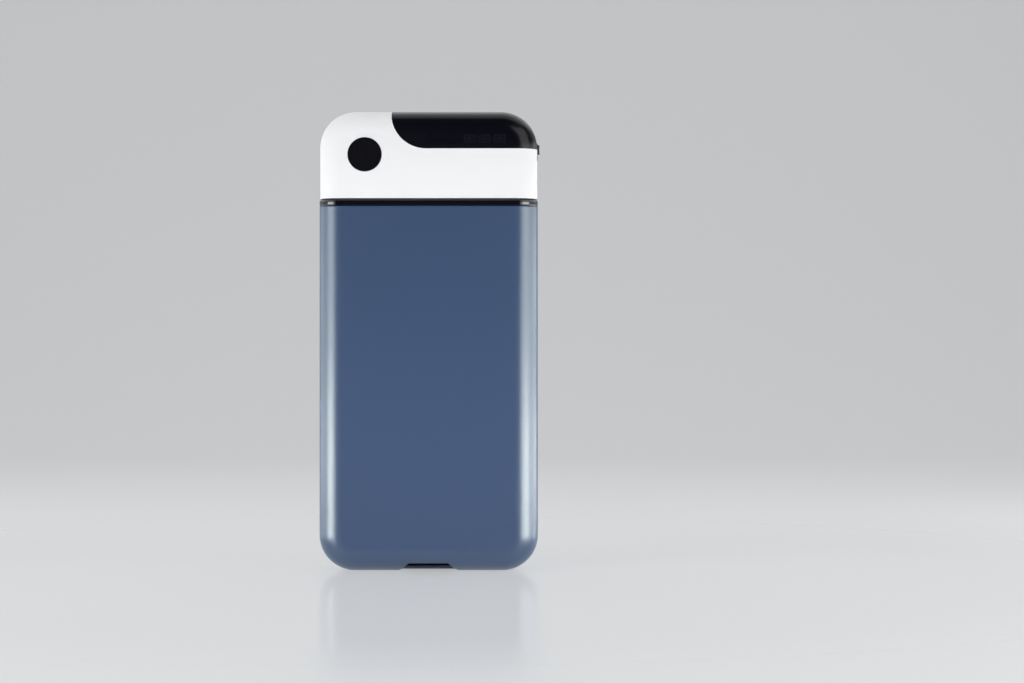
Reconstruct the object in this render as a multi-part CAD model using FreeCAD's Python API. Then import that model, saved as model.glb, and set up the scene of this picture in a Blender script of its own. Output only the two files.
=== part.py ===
import FreeCAD, Part
import math
import os

# A timed lock container for a phone: a translucent sleeve that stands on its base, closed by a head
# that holds the timer, its display and the lock. The head plugs into the sleeve's mouth with a dark
# collar. Inside the head a gearmotor turns a pinion between two racks, and the racks drive two
# steel hooks outward under strike plates in the sleeve.
#
# Frame: millimetres, X to the right, Y to the rear, Z up, origin under the middle of the base.
# The model is the closed and unlocked state: hooks drawn in, button out, power switch up.
# Pairs in brackets are the lower and upper limits of a piece on one axis.

V = FreeCAD.Vector

# Driving dimensions: the outside
BODY_WIDTH = 102.0
BODY_DEPTH = 30.0
EDGE_ROUND = 10.5        # front and rear outline edges of sleeve, band and head
BASE_CORNER = 16.5       # lower corners in the front view
TOP_CORNER = 17.0        # upper corners in the front view
SLEEVE_TOP = 169.68
BAND_TOP = 173.26        # the dark band between sleeve and head
OVERALL_HEIGHT = 214.0
HEAD_STEP = 0.33         # the head is this much smaller than the band all round
SHADOW_GAP = 1.0         # bevel on the band's upper edge, under the head

# Walls
SLEEVE_WALL = 2.2
BASE_WALL = 2.5
HEAD_WALL = 2.2
RIM_BREAK = 0.3          # small bevels where band and sleeve meet

# Head shells and display window
PARTING_Y = 3.0
SEAM_WIDTH, SEAM_DEPTH = 0.2, 0.3
TONGUE = 1.8
SHELL_PLAY = 0.1         # between tongue and groove
WINDOW_BOTTOM = 196.33
WINDOW_LEFT = -17.08
WINDOW_CORNER = 16.0
WINDOW_THICK = 1.1
WINDOW_WRAP_Y = -4.8     # the window ends here on the side and the top

# Timer button
BUTTON_X, BUTTON_Z = -29.43, 193.59
BUTTON_HOLE_R = 8.0
BUTTON_GAP = 0.12
BUTTON_TRAVEL = 0.8
PLUNGER_R, PLUNGER_TOP, PLUNGER_END = 1.7, -10.4, -8.6
TACT_SIZE, TACT_FRONT = 6.0, -9.7

# Power switch on the right side
SWITCH_Y = -1.4
SWITCH_SLOT = (191.9, 198.9)
SLOT_WIDTH = 2.5
BEZEL_SIDE, BEZEL_PROUD = 0.5, 0.25
KNOB_LENGTH, KNOB_WIDTH = 4.4, 2.2
KNOB_PROUD = 1.1
LEVER_WIDTH = 1.8

# Charging socket on the left side
USB_Z = 188.0
USB_WIDTH, USB_HEIGHT = 8.94, 3.26
USB_SHELL = 0.3
USB_REAR_X = -43.0

# Cable notch in the base
NOTCH_TOP_Z = 3.75
NOTCH_TOP_HALF = 9.2
NOTCH_BASE_HALF = 13.1
NOTCH_REAR_Y = 3.0
LIP_WIDTH, LIP_DEPTH = 0.5, 0.4
RAMP_FOOT, RAMP_TOP = (NOTCH_REAR_Y, 1.3), (7.5, 3.1)    # y and z of the cable's ramp
RAMP_HALF = 12.0

# Collar: the plug below the band, and the rim that centres the head's shells
PLUG_CLEARANCE = 0.3
PLUG_BOTTOM = 156.0
PLUG_WALL = 2.2
PLUG_LEAD_IN = 0.8
CEILING_Z = 170.8        # underside of the collar's floor, the roof of the phone compartment
RIM_GAP, RIM_WALL, RIM_HEIGHT = 0.15, 1.4, 2.6

# Fasteners: 1.6 mm pan-head screws and 2 mm rivets
SCREW_R, SCREW_HEAD_R, SCREW_HEAD = 0.8, 1.9, 1.3
SCREW_WAY_R = 1.1        # a hole that a screw passes through
RIVET_R, RIVET_HEAD_R, RIVET_HEAD = 1.0, 1.9, 0.7
CASE_SCREWS = [(-23.0, -8.0), (-38.0, -8.0), (23.0, 8.0), (38.0, 8.0)]
CASE_SCREW_LENGTH = 7.5
BOARD_SCREWS = [(-41.0, 183.5), (41.0, 183.5), (-37.0, 206.5), (30.0, 207.9)]
PLATE_SCREWS = [(12.0, 0.0), (-12.0, 0.0), (14.2, 9.0), (-14.2, -9.0)]
SHORT_SCREW_LENGTH = 5.0

# Lock: pinion, racks, hooks and strikes
GEAR_MODULE = 0.7
GEAR_TEETH = 18
PITCH_R = GEAR_MODULE * GEAR_TEETH / 2
PRESSURE_ANGLE = math.radians(20)
BACKLASH = 0.12
RACK_TEETH = range(-2, 5)
RACK_BACK = 9.6          # the rack's straight face, which runs along the rail
HOOK_THICK = 2.0
HOOK_HALF_WIDTH = 4.5
HOOK_FACE = 42.2         # outer face of the blade with the hooks drawn in
HOOK_REACH = 2.2         # nose beyond the blade
HOOK_TRAVEL = 2.4
HOOK_TAB = 31.4          # inner end of the tab on the rack bar
HOOK_RIVETS = [(-33.2, 0.0), (-37.4, 0.0)]
NOSE_TOP, NOSE_HEIGHT, NOSE_BEVEL = 149.6, 3.6, 1.4
BLADE_PLAY = 0.4         # round the blade where it passes through the collar's floor
STRIKE_FACE = 48.0       # face of the moulded pad that carries the strike
STRIKE_THICK, STRIKE_LIP = 1.0, 1.2
STRIKE_TIP = 44.9
STRIKE_HALF_WIDTH, STRIKE_BOTTOM = 7.0, 138.0
STRIKE_UNDERSIDE = NOSE_TOP + 0.4
STRIKE_RIVETS = [(-4.0, 142.0), (4.0, 142.0)]
STRIKE_RIVET_DEPTH = 2.0
PAD_HALF_WIDTH, PAD_Z = 7.6, (137.4, 151.8)

# Mechanism levels above the collar's floor, and its gearmotor
SLIDE_GAP = 0.1
BAR_Z0 = BAND_TOP + SLIDE_GAP
BAR_Z1 = BAR_Z0 + 3.0
HOOK_SEAT = BAR_Z0 + 2.0
PLATE_Z0 = BAR_Z1 + SLIDE_GAP
PLATE_Z1 = PLATE_Z0 + 1.2
PILLAR_TOP = BAND_TOP + 6.5
PLATE_WIDTH, PLATE_DEPTH, PLATE_CORNER = 34.4, 22.4, 3.0
GEARBOX_WIDTH, GEARBOX_DEPTH = 12.0, 10.0
GEARBOX_TOP = PLATE_Z1 + 9.0
CAN_TOP = GEARBOX_TOP + 15.0
SHAFT_R = 1.5
SHAFT_FLAT = 1.0         # distance from the axis to the flat
SHAFT_PLAY = 0.05
SHAFT_BOTTOM, SHAFT_TOP = CEILING_Z + 1.1, PLATE_Z1 + 3.0

# Electronics
BOARD_FRONT = -6.5
BOARD_THICK = 1.2
BOARD_REAR = BOARD_FRONT + BOARD_THICK
BOARD_HALF_WIDTH, BOARD_Z, BOARD_CORNER = 46.3, (180.5, 210.0), 13.0
DISPLAY_X, DISPLAY_Z = (-1.0, 43.0), (197.7, 204.5)
DISPLAY_FRONT = -11.7
PROCESSOR = ((28.0, 35.0), (190.0, 197.0), 1.4)      # x, z and height
MOTOR_DRIVER = ((12.0, 17.0), (186.0, 190.0), 1.5)
HEADER_X, HEADER_WIDTH, HEADER_Z = (11.0, 22.0), 6.0, (203.0, 208.6)
HEADER_HEIGHT, HEADER_WALL = 4.2, 0.8
BUZZER_X, BUZZER_Z, BUZZER_R, BUZZER_HEIGHT = 24.0, 186.5, 4.6, 4.2
CELL_X, CELL_Z, CELL_THICK = (-38.0, -9.0), (181.8, 203.0), 6.5
TAPE_Z, TAPE_THICK = (184.0, 201.0), 0.4

HEAD_FRONT = -(BODY_DEPTH / 2 - HEAD_STEP)
HEAD_HALF_WIDTH = BODY_WIDTH / 2 - HEAD_STEP

RUN_OUT = 1.0            # how far a cut runs past the wall that it opens
MERGE = 0.5              # how far forms overlap before they are fused into one moulding
BLIND_FLOOR = 0.9        # what is left beyond the end of a blind hole
FAR = 2 * BODY_WIDTH     # beyond the object, for cuts that take all of a side
ALL_X = (-FAR, FAR)
ALL_Z = (-FAR, 2 * FAR)


# Forms that several pieces use


def slab(x, y, z):
    """Box between the given pairs of limits."""
    return Part.makeBox(x[1] - x[0], y[1] - y[0], z[1] - z[0], V(x[0], y[0], z[0]))


def around(middle, half):
    """A pair of limits, half to each side of a middle."""
    return (middle - half, middle + half)


def widened(limits, margin):
    """A pair of limits, moved apart by a margin at each end."""
    return (limits[0] - margin, limits[1] + margin)


def rod(radius, start, end):
    """Round bar from one point to another."""
    axis = V(*end) - V(*start)
    return Part.makeCylinder(radius, axis.Length, V(*start), axis)


def upright(radius, place, z):
    """Round bar along Z at a place in plan."""
    return rod(radius, (*place, z[0]), (*place, z[1]))


def cross_rod(radius, place, y):
    """Round bar along Y at a place in the front view."""
    return rod(radius, (place[0], y[0], place[1]), (place[0], y[1], place[1]))


def prism(points, travel):
    """Straight-sided outline pushed along a vector."""
    corners = [V(*p) for p in points]
    return Part.Face(Part.makePolygon(corners + corners[:1])).extrude(V(*travel))


def front_prism(points, y):
    """Outline drawn in the front view, as (x, z), pushed between two places on Y."""
    return prism([(px, y[0], pz) for px, pz in points], (0, y[1] - y[0], 0))


def plan_prism(points, z):
    """Outline drawn in plan, as (x, y), pushed between two heights."""
    return prism([(px, py, z[0]) for px, py in points], (0, 0, z[1] - z[0]))


def edges(shape, along=None, **at):
    """Edges that run along an axis, or lie whole at a given X, Y or Z."""
    found = []
    for edge in shape.Edges:
        box = edge.BoundBox
        runs = along is None or getattr(box, along + "Length") > 0.1
        places = [(getattr(box, axis + end), at[axis]) for axis in at for end in ("Min", "Max")]
        if runs and all(abs(place - wanted) < 0.01 for place, wanted in places):
            found.append(edge)
    return found


def plate(width, depth, radius, z):
    """Plate with rounded corners in plan, centred on Z."""
    block = slab(around(0, width / 2), around(0, depth / 2), z)
    return block.makeFillet(radius, edges(block, "Z"))


def side_stadium(width, height, y, z, x):
    """Bar along X whose section is a stadium, long way up, centred on (y, z)."""
    block = slab(x, around(y, height / 2), around(z, width / 2))
    return block.makeFillet(height / 2 - 0.01, edges(block, "X"))


def capsule_end(half_width, depth, z_open, z_end, corner, edge_round):
    """One end of the capsule: a U outline in the front view, pushed through the depth, with its
    front and rear edges rounded. It is open, so left square, at z_open."""
    up = 1 if z_end > z_open else -1
    z_arc = z_end - up * corner
    bulge = corner * (1 - math.sqrt(0.5))
    y = -depth / 2
    left = [(-half_width, z_open), (-half_width, z_arc), (-half_width + corner, z_end)]
    right = [(-x, z) for x, z in reversed(left)]
    p = [V(x, y, z) for x, z in left + right]
    mid_left = V(-half_width + bulge, y, z_end - up * bulge)
    mid_right = V(half_width - bulge, y, z_end - up * bulge)
    path = [
        Part.LineSegment(p[0], p[1]),
        Part.Arc(p[1], mid_left, p[2]),
        Part.LineSegment(p[2], p[3]),
        Part.Arc(p[3], mid_right, p[4]),
        Part.LineSegment(p[4], p[5]),
        Part.LineSegment(p[5], p[0]),
    ]
    block = Part.Face(Part.Wire([c.toShape() for c in path])).extrude(V(0, depth, 0))
    rims = edges(block, Y=y) + edges(block, Y=-y)
    return block.makeFillet(edge_round, [e for e in rims if abs(e.CenterOfMass.z - z_open) > 0.01])


def sleeve_form(inset, z_open, base):
    """The sleeve's outer form, or one inside it by inset."""
    half = BODY_WIDTH / 2 - inset
    depth = BODY_DEPTH - 2 * inset
    return capsule_end(half, depth, z_open, base, BASE_CORNER - inset, EDGE_ROUND - inset)


def head_form(inset, z_open=BAND_TOP):
    """The head's outer form, or one inside it by inset."""
    half = HEAD_HALF_WIDTH - inset
    depth = 2 * (-HEAD_FRONT - inset)
    edge_round = EDGE_ROUND - HEAD_STEP - inset
    return capsule_end(half, depth, z_open, OVERALL_HEIGHT - inset, TOP_CORNER - inset, edge_round)


def headed_pin(base, direction, length, radius, head_r, head):
    """Screw or rivet: its head stands on base and its shank runs along direction."""
    outline = [(0, -head), (head_r, -head), (head_r, 0), (radius, 0), (radius, length), (0, length)]
    corners = [V(r, 0, z) for r, z in outline]
    body = Part.Face(Part.makePolygon(corners + corners[:1])).revolve(V(), V(0, 0, 1), 360)
    turn = FreeCAD.Rotation(V(0, 0, 1), V(*direction))
    body.Placement = FreeCAD.Placement(V(*base), turn)
    return body


def screw(base, direction, length):
    return headed_pin(base, direction, length, SCREW_R, SCREW_HEAD_R, SCREW_HEAD)


def rivet(base, direction, length):
    return headed_pin(base, direction, length, RIVET_R, RIVET_HEAD_R, RIVET_HEAD)


def half_turn(shape):
    """Copy turned 180 degrees about the pinion's axis: the other side of the lock."""
    other = shape.copy()
    other.rotate(V(), V(0, 0, 1), 180)
    return other


def fused(shapes):
    """One solid out of several that touch, with the seams between them removed."""
    return shapes[0].multiFuse(shapes[1:]).removeSplitter()


os.makedirs("parts", exist_ok=True)


def save(node, shape):
    """Write one sub-part, after testing that all its solids are sound."""
    if not shape.Solids or not shape.isValid() or shape.Volume <= 0:
        raise ValueError(f"{node} is not a sound solid")
    shape.exportStep(f"parts/{node}.step")


# Sleeve
# A deep thin-walled tub with a flat base. The base has a notch for the charging cable, with a
# stepped lip round it. The notch is open to the front and to the compartment, and behind it a
# ramp in the compartment's floor leads the cable up.

sleeve = sleeve_form(0, SLEEVE_TOP, 0)
sleeve = sleeve.cut(sleeve_form(SLEEVE_WALL, SLEEVE_TOP + RUN_OUT, BASE_WALL))
sleeve = sleeve.makeChamfer(RIM_BREAK, edges(sleeve, Z=SLEEVE_TOP))


def notch_outline(grow):
    """Trapezoid of the cable notch in the front view, widened by grow and run out below."""
    slope = (NOTCH_BASE_HALF - NOTCH_TOP_HALF) / NOTCH_TOP_Z
    top, run_out = NOTCH_TOP_Z + grow, -2 * RUN_OUT
    half_top = NOTCH_TOP_HALF + grow * 0.5
    half_low = half_top + slope * (top - run_out)
    return [(-half_top, top), (half_top, top), (half_low, run_out), (-half_low, run_out)]


notch_y = (-BODY_DEPTH, NOTCH_REAR_Y)
skin_top = 2 * BASE_CORNER
lip_skin = sleeve_form(0, skin_top, 0)
lip_skin = lip_skin.cut(sleeve_form(LIP_DEPTH, skin_top + RUN_OUT, LIP_DEPTH))
lip = front_prism(notch_outline(LIP_WIDTH), notch_y).common(lip_skin)
ramp_section = [
    (RAMP_FOOT[0] - RUN_OUT, RAMP_FOOT[1]),
    RAMP_FOOT,
    RAMP_TOP,
    (RAMP_TOP[0], RAMP_TOP[1] + RUN_OUT),
    (RAMP_FOOT[0] - RUN_OUT, RAMP_TOP[1] + RUN_OUT),
]
ramp = prism([(-RAMP_HALF, y, z) for y, z in ramp_section], (2 * RAMP_HALF, 0, 0))
sleeve = sleeve.cut(lip).cut(front_prism(notch_outline(0), notch_y)).cut(ramp)

# Each side wall carries a moulded pad for its strike plate, with two blind holes for rivets.
pad_x = (-BODY_WIDTH / 2 + SLEEVE_WALL / 2, -STRIKE_FACE)
strike_pad = slab(pad_x, around(0, PAD_HALF_WIDTH), PAD_Z)
sleeve = fused([sleeve, strike_pad, half_turn(strike_pad)])
for y, z in STRIKE_RIVETS:
    hole = rod(RIVET_R, (-STRIKE_FACE - STRIKE_RIVET_DEPTH, y, z), (-STRIKE_FACE + RUN_OUT, y, z))
    sleeve = sleeve.cut(hole).cut(half_turn(hole))
save("sleeve", sleeve)

# Strike plates
# Pressed-steel angles. The short leg points inward, and the hook's nose goes under it.

plate_face = -STRIKE_FACE + STRIKE_THICK
strike_section = [
    (-STRIKE_FACE, STRIKE_BOTTOM),
    (plate_face, STRIKE_BOTTOM),
    (plate_face, STRIKE_UNDERSIDE),
    (-STRIKE_TIP, STRIKE_UNDERSIDE),
    (-STRIKE_TIP, STRIKE_UNDERSIDE + STRIKE_LIP),
    (-STRIKE_FACE, STRIKE_UNDERSIDE + STRIKE_LIP),
]
STRIKE_CORNER = 2.0
strike = front_prism(strike_section, around(0, STRIKE_HALF_WIDTH))
strike = strike.makeFillet(STRIKE_CORNER, edges(strike, "X", Z=STRIKE_BOTTOM))
for y, z in STRIKE_RIVETS:
    strike = strike.cut(rod(RIVET_R, (-STRIKE_FACE - RUN_OUT, y, z), (plate_face + RUN_OUT, y, z)))
save("strike_plate_left", strike)
save("strike_plate_right", half_turn(strike))

strike_rivets = [
    rivet((plate_face, y, z), (-1, 0, 0), STRIKE_RIVET_DEPTH + STRIKE_THICK)
    for y, z in STRIKE_RIVETS
]
strike_rivets = Part.makeCompound(strike_rivets)
save("strike_rivets_left", strike_rivets)
save("strike_rivets_right", half_turn(strike_rivets))

# Neck collar
# The dark band, the floor of the head and the plug that enters the sleeve are one moulding. On
# the floor stand the rim that centres the shells, the rack guides and the screw bosses.

band = plate(BODY_WIDTH, BODY_DEPTH, EDGE_ROUND, (SLEEVE_TOP, BAND_TOP))
band = band.makeChamfer(RIM_BREAK, edges(band, Z=SLEEVE_TOP))
band = band.makeChamfer(SHADOW_GAP, edges(band, Z=BAND_TOP))

plug_inset = SLEEVE_WALL + PLUG_CLEARANCE


def collar_plate(inset, z):
    """Plate inside the band's outline by inset."""
    return plate(BODY_WIDTH - 2 * inset, BODY_DEPTH - 2 * inset, EDGE_ROUND - inset, z)


plug = collar_plate(plug_inset, (PLUG_BOTTOM, SLEEVE_TOP + MERGE))
plug = plug.makeChamfer(PLUG_LEAD_IN, edges(plug, Z=PLUG_BOTTOM))

rim_inset = HEAD_STEP + HEAD_WALL + RIM_GAP
rim = collar_plate(rim_inset, (BAND_TOP - MERGE, BAND_TOP + RIM_HEIGHT))
rim = rim.cut(collar_plate(rim_inset + RIM_WALL, (BAND_TOP, BAND_TOP + RIM_HEIGHT + RUN_OUT)))

# Guides for the left rack, which runs behind the pinion: a rail, and a hold-down over the bar
RAIL_X, HOLD_DOWN_X = (-30.0, 9.0), (-29.0, -21.0)
HOLD_DOWN_REACH = 1.1
rail_y = (RACK_BACK + 0.15, 11.2)
rail = slab(RAIL_X, rail_y, (BAND_TOP - MERGE, BAR_Z1))
post = slab(HOLD_DOWN_X, rail_y, (BAR_Z1 - SLIDE_GAP, PLATE_Z1))
hold_down = slab(HOLD_DOWN_X, (RACK_BACK - HOLD_DOWN_REACH, rail_y[1]), (PLATE_Z0, PLATE_Z1))
guides = [rail, post, hold_down]

BOSS_R = 2.5
bosses = [upright(BOSS_R, place, (BAND_TOP - MERGE, PLATE_Z0)) for place in PLATE_SCREWS]
collar = fused([band, plug, rim] + guides + [half_turn(g) for g in guides] + bosses)
collar = collar.cut(collar_plate(plug_inset + PLUG_WALL, (PLUG_BOTTOM - RUN_OUT, CEILING_Z)))

# Ways through the floor for the hooks, and blind holes for the shaft's end and the screws
blade_inside = HOOK_FACE - HOOK_THICK
blade_way = slab(
    (-HOOK_FACE - HOOK_TRAVEL - BLADE_PLAY, -blade_inside + BLADE_PLAY),
    around(0, HOOK_HALF_WIDTH + BLADE_PLAY),
    (CEILING_Z - RUN_OUT, BAND_TOP + RUN_OUT),
)
hole_z = (CEILING_Z + BLIND_FLOOR, PLATE_Z0 + RUN_OUT)
collar = collar.cut(blade_way).cut(half_turn(blade_way))
collar = collar.cut(upright(SHAFT_R + SHAFT_PLAY, (0, 0), hole_z))
for place in CASE_SCREWS:
    collar = collar.cut(upright(SCREW_WAY_R, place, (CEILING_Z - RUN_OUT, BAND_TOP + RUN_OUT)))
for place in PLATE_SCREWS:
    collar = collar.cut(upright(SCREW_R, place, hole_z))
save("neck_collar", collar)

# Head shells
# Two halves that meet behind the middle. The rear one has a tongue that enters the front one.
# The front one is stepped back where the display window lies on it.

below = BAND_TOP - RUN_OUT
outer = head_form(0)
cavity = head_form(HEAD_WALL, below)
seam_skin = outer.cut(head_form(SEAM_DEPTH, below))
seam_y = around(PARTING_Y, SEAM_WIDTH / 2)
wall = outer.cut(cavity).cut(seam_skin.common(slab(ALL_X, seam_y, ALL_Z)))

TONGUE_START = BAND_TOP + 0.4
tongue = head_form(HEAD_WALL / 2 + SHELL_PLAY).cut(cavity)
tongue = tongue.common(slab(ALL_X, (PARTING_Y - TONGUE, PARTING_Y), (TONGUE_START, 2 * FAR)))
groove = head_form(HEAD_WALL / 2, below).cut(cavity)
groove = groove.common(slab(ALL_X, (PARTING_Y - TONGUE - SHELL_PLAY, PARTING_Y), ALL_Z))

window_block = slab((WINDOW_LEFT, FAR), (-FAR, WINDOW_WRAP_Y), (WINDOW_BOTTOM, 2 * FAR))
window_corner_edge = edges(window_block, "Y", X=WINDOW_LEFT, Z=WINDOW_BOTTOM)
window_block = window_block.makeFillet(WINDOW_CORNER, window_corner_edge)
window = outer.cut(head_form(WINDOW_THICK, below)).common(window_block)
save("display_window", window)

# Pillars inside the shells take the screws. Those of the case are tied to the wall by a rib.
BOARD_PILLAR_R, CASE_PILLAR_R, RIB_HALF = 2.0, 2.4, 0.6
RIB_START = BAND_TOP + 3.0
mid_wall = head_form(HEAD_WALL * 0.75, below)


def case_pillars(places, face):
    """Pillars at places in plan, each with a rib to the shell's face, as far as the wall."""
    made = []
    for x, y in places:
        made.append(upright(CASE_PILLAR_R, (x, y), (BAND_TOP, PILLAR_TOP)))
        made.append(slab(around(x, RIB_HALF), sorted((y, face)), (RIB_START, PILLAR_TOP)))
    return [p.common(mid_wall) for p in made]


def drilled(shell, places):
    """The shell with a blind screw hole in each of its case pillars."""
    for place in places:
        shell = shell.cut(upright(SCREW_R, place, (below, PILLAR_TOP - BLIND_FLOOR)))
    return shell


front_places = [(x, y) for x, y in CASE_SCREWS if y < 0]
rear_places = [(x, y) for x, y in CASE_SCREWS if y > 0]
board_pillars = [
    cross_rod(BOARD_PILLAR_R, place, (HEAD_FRONT, BOARD_FRONT)).common(mid_wall)
    for place in BOARD_SCREWS
]
front = wall.common(slab(ALL_X, (-FAR, PARTING_Y), ALL_Z)).cut(groove)
front = fused([front] + board_pillars + case_pillars(front_places, HEAD_FRONT))

# Openings of the front shell: display, button, power switch and charging socket
OPENING_PLAY = 0.3
USB_PLAY = 0.25
through_front = (HEAD_FRONT - RUN_OUT, HEAD_FRONT + HEAD_WALL + RUN_OUT)
through_side = (HEAD_HALF_WIDTH - HEAD_WALL - RUN_OUT, HEAD_HALF_WIDTH + RUN_OUT)
through_rounding = (through_front[0], HEAD_FRONT + EDGE_ROUND / 2)
display_hole = slab(
    widened(DISPLAY_X, OPENING_PLAY), through_rounding, widened(DISPLAY_Z, OPENING_PLAY)
)
button_hole = cross_rod(BUTTON_HOLE_R, (BUTTON_X, BUTTON_Z), through_front)
slot_y = around(SWITCH_Y, SLOT_WIDTH / 2)
bezel_y, bezel_z = widened(slot_y, BEZEL_SIDE), widened(SWITCH_SLOT, BEZEL_SIDE)
usb_y = BOARD_REAR + USB_HEIGHT / 2
usb_hole = side_stadium(
    USB_WIDTH + 2 * USB_PLAY, USB_HEIGHT + 2 * USB_PLAY, usb_y, USB_Z,
    (-through_side[1], -through_side[0]),
)
front = front.cut(window).cut(display_hole).cut(button_hole)
front = front.cut(slab(through_side, bezel_y, bezel_z)).cut(usb_hole)
board_hole_y = (BOARD_REAR - SHORT_SCREW_LENGTH - 0.7, BOARD_FRONT + RUN_OUT)
for place in BOARD_SCREWS:
    front = front.cut(cross_rod(SCREW_R, place, board_hole_y))
save("head_front_shell", drilled(front, front_places))

rear = wall.common(slab(ALL_X, (PARTING_Y, FAR), ALL_Z))
rear = fused([rear, tongue] + case_pillars(rear_places, -HEAD_FRONT))
save("head_rear_shell", drilled(rear, rear_places))

case_screws = [screw((x, y, CEILING_Z), (0, 0, 1), CASE_SCREW_LENGTH) for x, y in CASE_SCREWS]
save("case_screws", Part.makeCompound(case_screws))

# Timer button
# A round cap flush with the head's face, held from behind by a flange. Its stem presses the
# plunger of a tactile switch on the board.

CAP_BREAK = 0.25
FLANGE_OUT, FLANGE_THICK = 0.9, 0.6
STEM_R, STEM_TIP_R = 2.2, 1.6
cap_r = BUTTON_HOLE_R - BUTTON_GAP
flange_y = HEAD_FRONT + HEAD_WALL + 0.05
button_profile = [
    (0, HEAD_FRONT),
    (cap_r - CAP_BREAK, HEAD_FRONT),
    (cap_r, HEAD_FRONT + CAP_BREAK),
    (cap_r, flange_y),
    (cap_r + FLANGE_OUT, flange_y),
    (cap_r + FLANGE_OUT, flange_y + FLANGE_THICK),
    (STEM_R, flange_y + FLANGE_THICK),
    (STEM_TIP_R, PLUNGER_TOP),
    (0, PLUNGER_TOP),
]
button_corners = [V(BUTTON_X + r, y, BUTTON_Z) for r, y in button_profile]
button_face = Part.Face(Part.makePolygon(button_corners + button_corners[:1]))
save("timer_button", button_face.revolve(V(BUTTON_X, 0, BUTTON_Z), V(0, 1, 0), 360))

button_place = (BUTTON_X, BUTTON_Z)
save("button_plunger", cross_rod(PLUNGER_R, button_place, (PLUNGER_TOP, PLUNGER_END)))

TACT_CORNER, PLUNGER_PLAY = 0.5, 0.06
tact = slab(
    around(BUTTON_X, TACT_SIZE / 2),
    (TACT_FRONT, BOARD_FRONT),
    around(BUTTON_Z, TACT_SIZE / 2),
)
tact = tact.makeChamfer(TACT_CORNER, edges(tact, "Y"))
well_y = (TACT_FRONT - RUN_OUT, PLUNGER_END + BUTTON_TRAVEL + 0.2)
save("button_switch", tact.cut(cross_rod(PLUNGER_R + PLUNGER_PLAY, button_place, well_y)))

# Power switch
# A slide switch on the board's rear. Its knob stands out of a black bezel in the right side.

BEZEL_ROUND, KNOB_ROUND = 0.2, 0.35
bezel_face = HEAD_HALF_WIDTH + BEZEL_PROUD
bezel = slab((HEAD_HALF_WIDTH - HEAD_WALL, bezel_face), bezel_y, bezel_z)
bezel = bezel.makeFillet(BEZEL_ROUND, edges(bezel, X=bezel_face))
save("switch_bezel", bezel.cut(slab(widened(through_side, RUN_OUT), slot_y, SWITCH_SLOT)))

SWITCH_BODY_HALF, SWITCH_BODY_REAR = 4.3, 0.9
body_x = (41.6, HEAD_HALF_WIDTH - HEAD_WALL - 0.6)
body_z = around(sum(SWITCH_SLOT) / 2, SWITCH_BODY_HALF)
switch_body = slab(body_x, (BOARD_REAR, SWITCH_BODY_REAR), body_z)
lever_y = around(SWITCH_Y, LEVER_WIDTH / 2)
lever_way = slab(
    (body_x[1] - 2.2, body_x[1] + RUN_OUT), widened(lever_y, 0.1), widened(SWITCH_SLOT, -0.6)
)
save("power_switch_body", switch_body.cut(lever_way))

# The knob has three grooves across its travel for the thumb.
GROOVE_PITCH, GROOVE_WIDTH, GROOVE_DEPTH = 0.9, 0.4, 0.3
knob_z = (SWITCH_SLOT[1] - 0.2 - KNOB_LENGTH, SWITCH_SLOT[1] - 0.2)
knob_x = (HEAD_HALF_WIDTH - HEAD_WALL + 0.4, HEAD_HALF_WIDTH + KNOB_PROUD)
knob = slab(knob_x, around(SWITCH_Y, KNOB_WIDTH / 2), knob_z)
knob = knob.makeFillet(KNOB_ROUND, edges(knob, X=knob_x[1]))
for step in (-1, 0, 1):
    groove_z = around(sum(knob_z) / 2 + step * GROOVE_PITCH, GROOVE_WIDTH / 2)
    groove_x = (knob_x[1] - GROOVE_DEPTH, knob_x[1] + RUN_OUT)
    knob = knob.cut(slab(groove_x, widened(slot_y, RUN_OUT), groove_z))
lever = slab((body_x[1] - 2.0, knob_x[0] + MERGE), lever_y, widened(knob_z, -0.8))
save("power_switch_knob", fused([knob, lever]))

# Charging socket
# Its steel shell reaches into the left wall, and a contact tongue stands inside it.

USB_SET_BACK, USB_BACK_WALL = 0.3, 1.2
TONGUE_SET_BACK, TONGUE_HALF_WIDTH, TONGUE_HALF_THICK = 0.6, 3.3, 0.35
usb_x = (-HEAD_HALF_WIDTH + USB_SET_BACK, USB_REAR_X)
usb_inside_x = (usb_x[0] - RUN_OUT, usb_x[1] - USB_BACK_WALL)
usb = side_stadium(USB_WIDTH, USB_HEIGHT, usb_y, USB_Z, usb_x)
usb = usb.cut(
    side_stadium(USB_WIDTH - 2 * USB_SHELL, USB_HEIGHT - 2 * USB_SHELL, usb_y, USB_Z, usb_inside_x)
)
usb_tongue = slab(
    (usb_x[0] + TONGUE_SET_BACK, usb_inside_x[1] + MERGE),
    around(usb_y, TONGUE_HALF_THICK),
    around(USB_Z, TONGUE_HALF_WIDTH),
)
save("usb_socket", fused([usb, usb_tongue]))

# Main board with its parts
# The front side carries the display and the button's switch, the rear side all the rest.

board = slab(around(0, BOARD_HALF_WIDTH), (BOARD_FRONT, BOARD_REAR), BOARD_Z)
board = board.makeFillet(BOARD_CORNER, edges(board, "Y", Z=BOARD_Z[1]))
for place in BOARD_SCREWS:
    board = board.cut(
        cross_rod(SCREW_WAY_R, place, (BOARD_FRONT - RUN_OUT, BOARD_REAR + RUN_OUT))
    )
save("main_board", board)

board_screws = [
    screw((x, BOARD_REAR, z), (0, -1, 0), SHORT_SCREW_LENGTH) for x, z in BOARD_SCREWS
]
save("board_screws", Part.makeCompound(board_screws))

DISPLAY_BREAK = 0.3
display = slab(DISPLAY_X, (DISPLAY_FRONT, BOARD_FRONT), DISPLAY_Z)
save("display_module", display.makeChamfer(DISPLAY_BREAK, edges(display, "Y")))

chips = [
    slab(x, (BOARD_REAR, BOARD_REAR + height), z) for x, z, height in (PROCESSOR, MOTOR_DRIVER)
]
save("board_chips", Part.makeCompound(chips))

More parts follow.
